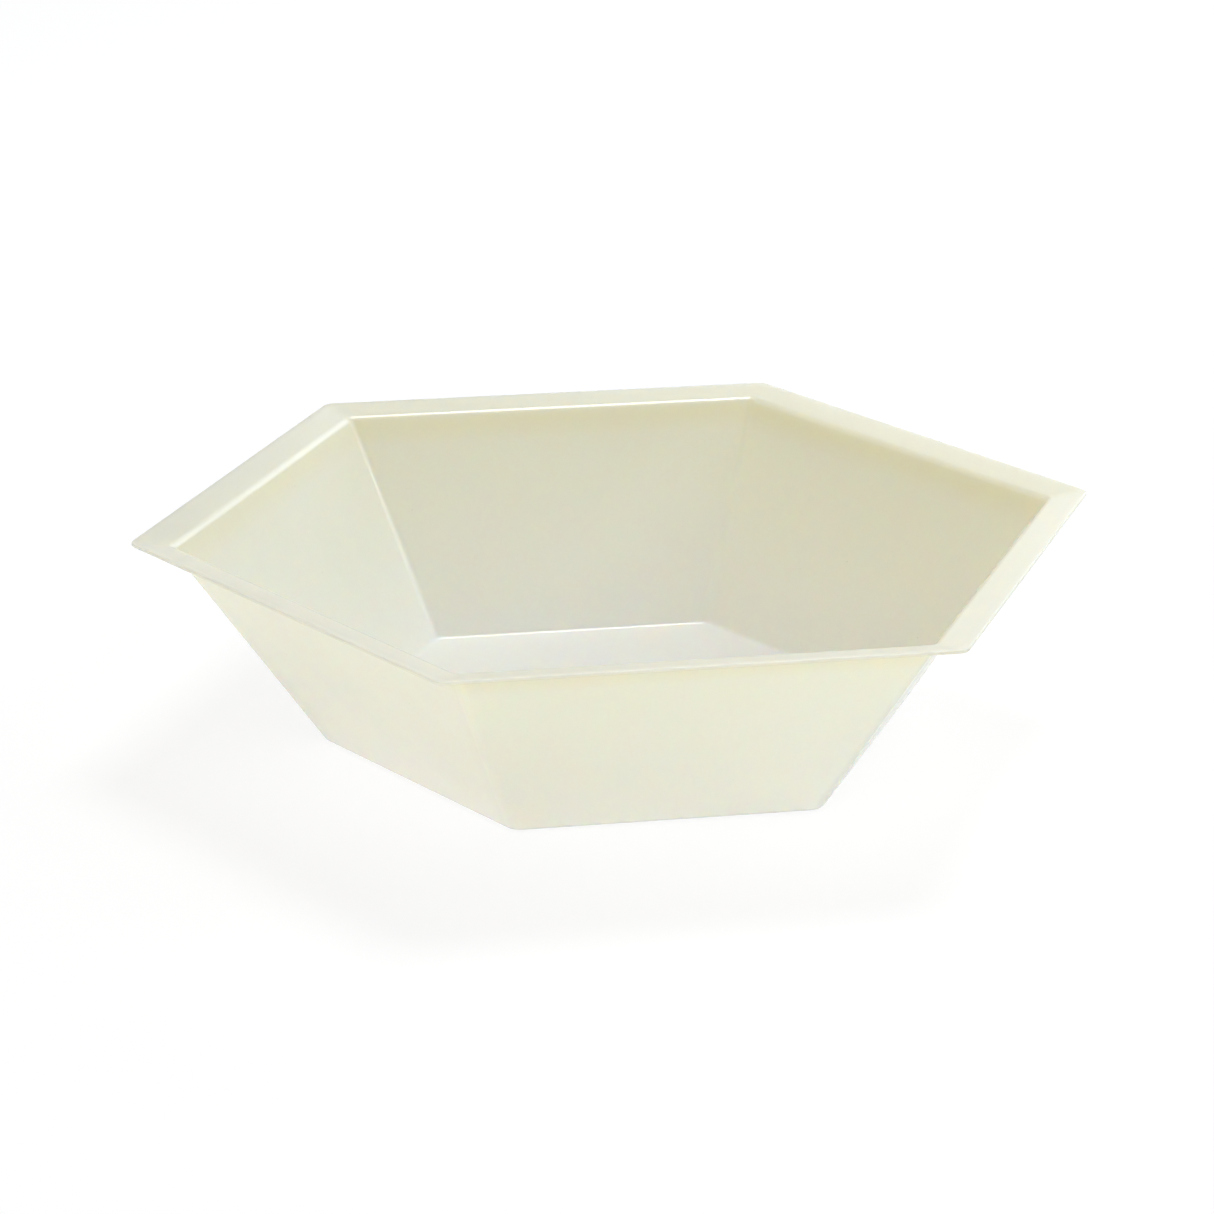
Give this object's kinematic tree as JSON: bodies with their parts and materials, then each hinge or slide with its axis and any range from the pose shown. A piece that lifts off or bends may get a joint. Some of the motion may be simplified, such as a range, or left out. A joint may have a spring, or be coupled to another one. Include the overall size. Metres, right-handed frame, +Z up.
{
  "type": "weighing boat",
  "caption": "Hexagonal weighing boat: a shallow thin-walled dish with a flat floor, sloping walls and a narrow flange round the rim.",
  "frame": {"origin": "middle of the flat underside, which rests on the bench", "axes": "+Z up out of the boat, +X through two opposite corners of the hexagon, +Y square to two opposite sides"},
  "size_m": [0.1234, 0.1074, 0.0282],
  "materials": {
    "ivory_plastic": "smooth moulded polystyrene, ivory white, slightly translucent, with a soft satin sheen"
  },
  "bodies": {
    "root": {"boat": "ivory_plastic"}
  },
  "joints": []
}
